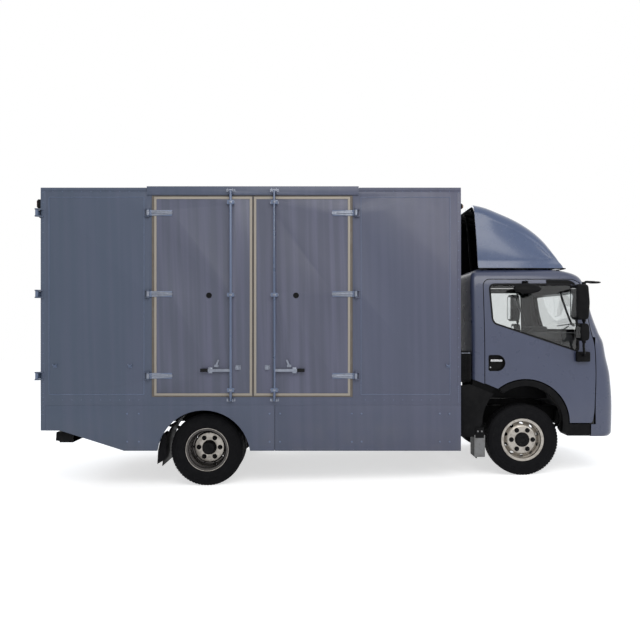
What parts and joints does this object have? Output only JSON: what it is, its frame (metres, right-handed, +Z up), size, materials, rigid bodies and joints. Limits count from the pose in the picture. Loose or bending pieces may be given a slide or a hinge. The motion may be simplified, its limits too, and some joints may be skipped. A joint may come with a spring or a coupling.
{
  "type": "light box truck",
  "caption": "Electric light box truck with a tilting cab, twin rear wheels and a closed cargo box with side and rear doors.",
  "frame": {"origin": "on the ground under the middle of the bounding box", "axes": "+X towards the cab, +Y to the truck's left, +Z up"},
  "size_m": [6.0654, 2.42, 3.1142],
  "materials": {
    "box_paint": "satin steel blue",
    "cab_paint": "semi-gloss blue",
    "deflector_paint": "glossy light blue",
    "black_steel": "black chassis paint",
    "black_plastic": "grained black",
    "rim_silver": "silver wheel paint",
    "rubber": "black rubber",
    "glass": "clear, faintly green",
    "lamp": "clear lens over a bright bowl",
    "red_lamp": "red lens",
    "seat": "dark cloth",
    "battery_grey": "grey battery case",
    "floor": "coated plywood on steel bearers"
  },
  "bodies": {
    "chassis": {"battery_block": "battery_grey", "box_floor": "floor", "box_front_wall": "box_paint", "box_left_wall": "box_paint", "box_right_wall": "box_paint", "box_roof": "box_paint", "frame": "black_steel", "front_axle": "black_steel", "junction_box": "black_plastic", "left_front_mudguard": "black_plastic", "left_front_skirt": "box_paint", "left_rear_mudguard": "black_plastic", "left_rear_skirt": "box_paint", "left_tail_lamp": "red_lamp", "rear_axle": "black_steel", "rear_portal": "box_paint", "right_front_mudguard": "black_plastic", "right_front_skirt": "box_paint", "right_rear_mudguard": "black_plastic", "right_rear_skirt": "box_paint", "right_tail_lamp": "red_lamp", "underrun_bar": "black_steel"},
    "cab": {"cab_shell": "cab_paint", "dashboard": "black_plastic", "driver_seat": "seat", "front_bumper": "cab_paint", "left_headlamp": "lamp", "left_step": "black_plastic", "passenger_seat": "seat", "right_headlamp": "lamp", "right_step": "black_plastic", "roof_deflector": "deflector_paint", "steering_column": "black_plastic", "windscreen": "glass"},
    "right_cab_door": {"kerb_mirror": "black_plastic", "right_cab_door": "cab_paint", "right_door_glass": "glass", "right_mirror": "black_plastic"},
    "left_cab_door": {"left_cab_door": "cab_paint", "left_door_glass": "glass", "left_mirror": "black_plastic"},
    "left_front_wheel": {"left_front_rim": "rim_silver", "left_front_tyre": "rubber"},
    "left_knuckle": {"left_knuckle": "black_steel"},
    "left_rear_door": {"left_rear_door": "box_paint"},
    "left_rear_wheels": {"left_rear_inner_tyre": "rubber", "left_rear_outer_tyre": "rubber", "left_rear_rims": "rim_silver"},
    "right_front_wheel": {"right_front_rim": "rim_silver", "right_front_tyre": "rubber"},
    "right_knuckle": {"right_knuckle": "black_steel"},
    "right_rear_door": {"right_rear_door": "box_paint"},
    "right_rear_wheels": {"right_rear_inner_tyre": "rubber", "right_rear_outer_tyre": "rubber", "right_rear_rims": "rim_silver"},
    "side_door_front": {"side_door_front_leaf": "box_paint"},
    "side_door_rear": {"side_door_rear_leaf": "box_paint"},
    "steering_wheel": {"steering_wheel": "black_plastic"},
    "tie_rod": {"tie_rod": "black_steel"}
  },
  "joints": [
    {"name": "cab_tilt", "type": "hinge", "parent": "chassis", "child": "cab", "pos_m": [2.65511, 0, 0.41237], "axis": [0, 1, 0], "range_deg": [0, 45]},
    {"name": "right_cab_door_hinge", "type": "hinge", "parent": "cab", "child": "right_cab_door", "pos_m": [2.7184, -0.925, 0.53675], "axis": [0.0263, 0, 0.9997], "range_deg": [0, 70]},
    {"name": "left_cab_door_hinge", "type": "hinge", "parent": "cab", "child": "left_cab_door", "pos_m": [2.7184, 0.925, 0.53675], "axis": [0.0263, 0, 0.9997], "range_deg": [-70, 0]},
    {"name": "steering_wheel_turn", "type": "hinge", "parent": "cab", "child": "steering_wheel", "pos_m": [2.39244, 0.4, 1.45563], "axis": [-0.4304, 0, 0.9026], "range_deg": [-525, 525]},
    {"name": "right_steer", "type": "hinge", "parent": "chassis", "child": "right_knuckle", "pos_m": [1.99181, -0.7, 0.37179], "axis": [0.0263, 0, 0.9997], "range_deg": [-35, 35]},
    {"name": "left_steer", "type": "hinge", "parent": "chassis", "child": "left_knuckle", "pos_m": [1.99181, 0.7, 0.37179], "axis": [0.0263, 0, 0.9997], "range_deg": [-35, 35]},
    {"name": "tie_rod_swing", "type": "hinge", "parent": "right_knuckle", "child": "tie_rod", "pos_m": [1.83979, -0.7, 0.29676], "axis": [0.0263, 0, 0.9997], "range_deg": [-35, 35]},
    {"name": "right_front_wheel_spin", "type": "hinge", "parent": "right_knuckle", "child": "right_front_wheel", "pos_m": [1.99181, -0.8075, 0.37179], "axis": [0, 1, 0], "continuous": true},
    {"name": "left_front_wheel_spin", "type": "hinge", "parent": "left_knuckle", "child": "left_front_wheel", "pos_m": [1.99181, 0.8075, 0.37179], "axis": [0, 1, 0], "continuous": true},
    {"name": "right_rear_wheels_spin", "type": "hinge", "parent": "chassis", "child": "right_rear_wheels", "pos_m": [-1.31733, -0.79, 0.37179], "axis": [0, 1, 0], "continuous": true},
    {"name": "left_rear_wheels_spin", "type": "hinge", "parent": "chassis", "child": "left_rear_wheels", "pos_m": [-1.31733, 0.79, 0.37179], "axis": [0, 1, 0], "continuous": true},
    {"name": "right_rear_door_hinge", "type": "hinge", "parent": "chassis", "child": "right_rear_door", "pos_m": [-3.01515, -1.108, 0.97164], "axis": [0.0263, 0, 0.9997], "range_deg": [0, 270]},
    {"name": "left_rear_door_hinge", "type": "hinge", "parent": "chassis", "child": "left_rear_door", "pos_m": [-3.01515, 1.108, 0.97164], "axis": [0.0263, 0, 0.9997], "range_deg": [-270, 0]},
    {"name": "side_door_rear_hinge", "type": "hinge", "parent": "chassis", "child": "side_door_rear", "pos_m": [-1.88241, -1.108, 0.94685], "axis": [0.0263, 0, 0.9997], "range_deg": [-175, 0]},
    {"name": "side_door_front_hinge", "type": "hinge", "parent": "chassis", "child": "side_door_front", "pos_m": [0.23786, -1.108, 0.89108], "axis": [0.0263, 0, 0.9997], "range_deg": [0, 175]}
  ],
  "couplings": [
    {"joint": "left_steer", "follows": "right_steer", "ratio": 1},
    {"joint": "tie_rod_swing", "follows": "right_steer", "ratio": -1},
    {"joint": "steering_wheel_turn", "follows": "right_steer", "ratio": 15}
  ]
}
